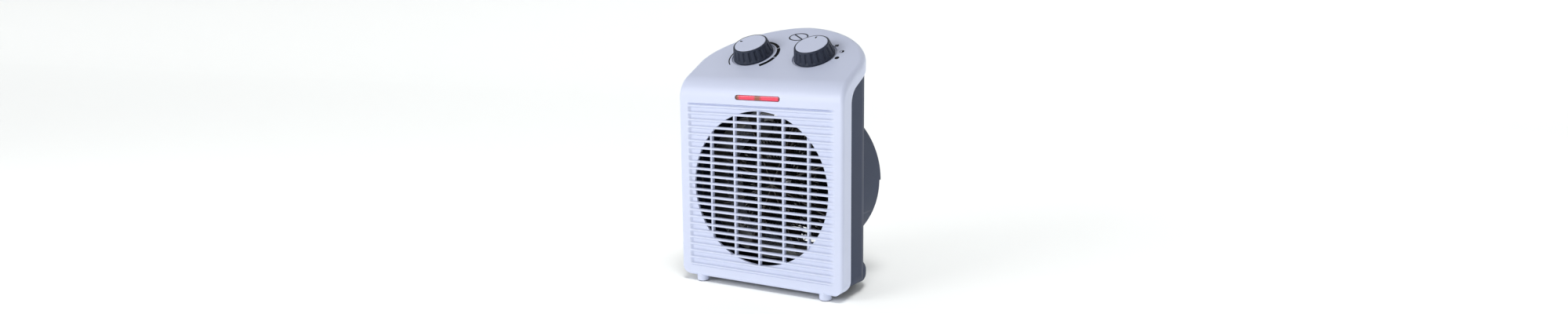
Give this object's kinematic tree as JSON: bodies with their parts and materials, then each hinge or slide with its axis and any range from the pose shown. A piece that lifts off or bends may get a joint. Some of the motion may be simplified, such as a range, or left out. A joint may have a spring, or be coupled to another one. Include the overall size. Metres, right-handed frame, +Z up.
{
  "type": "upright fan heater",
  "caption": "Upright fan heater with a round grille in a pale front cover, a dark rear shell with an air drum, turning knobs on a sloped panel and a fan behind wire heating coils.",
  "frame": {"origin": "middle of the footprint, on the floor under the feet", "axes": "+Z up; +Y from the front grille to the rear air drum; +X to the right hand of a person facing the grille"},
  "size_m": [0.18, 0.104, 0.2478],
  "materials": {
    "pale_plastic": "satin white moulding",
    "slate_plastic": "fine matt slate moulding",
    "knob_plastic": "satin dark slate",
    "red_lens": "translucent red, polished",
    "lamp_glass": "clear glass with an orange glow",
    "sheet_steel": "zinc-plated sheet",
    "core_steel": "laminated, oiled",
    "bright_steel": "bright plated",
    "heating_wire": "oxidised resistance wire",
    "mica": "pressed mica board",
    "copper": "enamelled winding wire",
    "black_plastic": "matt black",
    "ceramic": "unglazed white",
    "wire_sleeve": "dark insulation",
    "black_rubber": "matt black rubber"
  },
  "bodies": {
    "casing": {"front_cover": "pale_plastic", "rear_shell": "slate_plastic", "inlet_grille": "slate_plastic", "indicator_lens": "red_lens", "lamp_holder": "ceramic", "neon_lamp_left": "lamp_glass", "neon_lamp_right": "lamp_glass", "cord_gland": "black_rubber", "terminal_block": "ceramic", "heater_duct": "sheet_steel", "mica_frame": "mica", "heating_coil_inner": "heating_wire", "heating_coil_middle": "heating_wire", "heating_coil_outer": "heating_wire", "thermal_cutout": "black_plastic", "thermal_fuse": "bright_steel", "stator_core": "core_steel", "motor_winding": "copper", "front_bearing_bridge": "sheet_steel", "rear_bearing_bridge": "sheet_steel", "motor_bracket": "sheet_steel", "case_screw_lower_left": "bright_steel", "case_screw_lower_right": "bright_steel", "case_screw_upper_left": "bright_steel", "case_screw_upper_right": "bright_steel", "duct_screw_left": "bright_steel", "duct_screw_right": "bright_steel", "bracket_screw_left": "bright_steel", "bracket_screw_right": "bright_steel", "motor_screw_left": "bright_steel", "motor_screw_right": "bright_steel", "wire_live_to_thermostat": "wire_sleeve", "wire_neutral_to_motor": "wire_sleeve", "wire_neutral_to_element": "wire_sleeve", "wire_thermostat_to_switch": "wire_sleeve", "wire_switch_to_element": "wire_sleeve", "wire_switch_to_motor": "wire_sleeve", "wire_lamp_to_switch": "wire_sleeve", "thermostat_body": "ceramic", "rotary_switch_body": "black_plastic"},
    "thermostat_control": {"thermostat_knob": "knob_plastic", "thermostat_knob_cap": "pale_plastic", "thermostat_shaft": "bright_steel"},
    "selector_control": {"selector_knob": "knob_plastic", "selector_knob_cap": "pale_plastic", "selector_shaft": "bright_steel"},
    "fan_rotor": {"fan_impeller": "black_plastic", "fan_clip": "bright_steel", "motor_shaft": "bright_steel", "rotor_core": "core_steel"}
  },
  "joints": [
    {"name": "thermostat_turn", "type": "hinge", "parent": "casing", "child": "thermostat_control", "pos_m": [-0.0342, -0.00274, 0.22322], "axis": [0, -0.4726, 0.8813], "range_deg": [-212, 65]},
    {"name": "selector_turn", "type": "hinge", "parent": "casing", "child": "selector_control", "pos_m": [0.0342, -0.00274, 0.22322], "axis": [0, -0.4726, 0.8813], "range_deg": [-99, 0]},
    {"name": "fan_spin", "type": "hinge", "parent": "casing", "child": "fan_rotor", "pos_m": [0, 0.012, 0.0989], "axis": [0, 1, 0], "continuous": true}
  ]
}
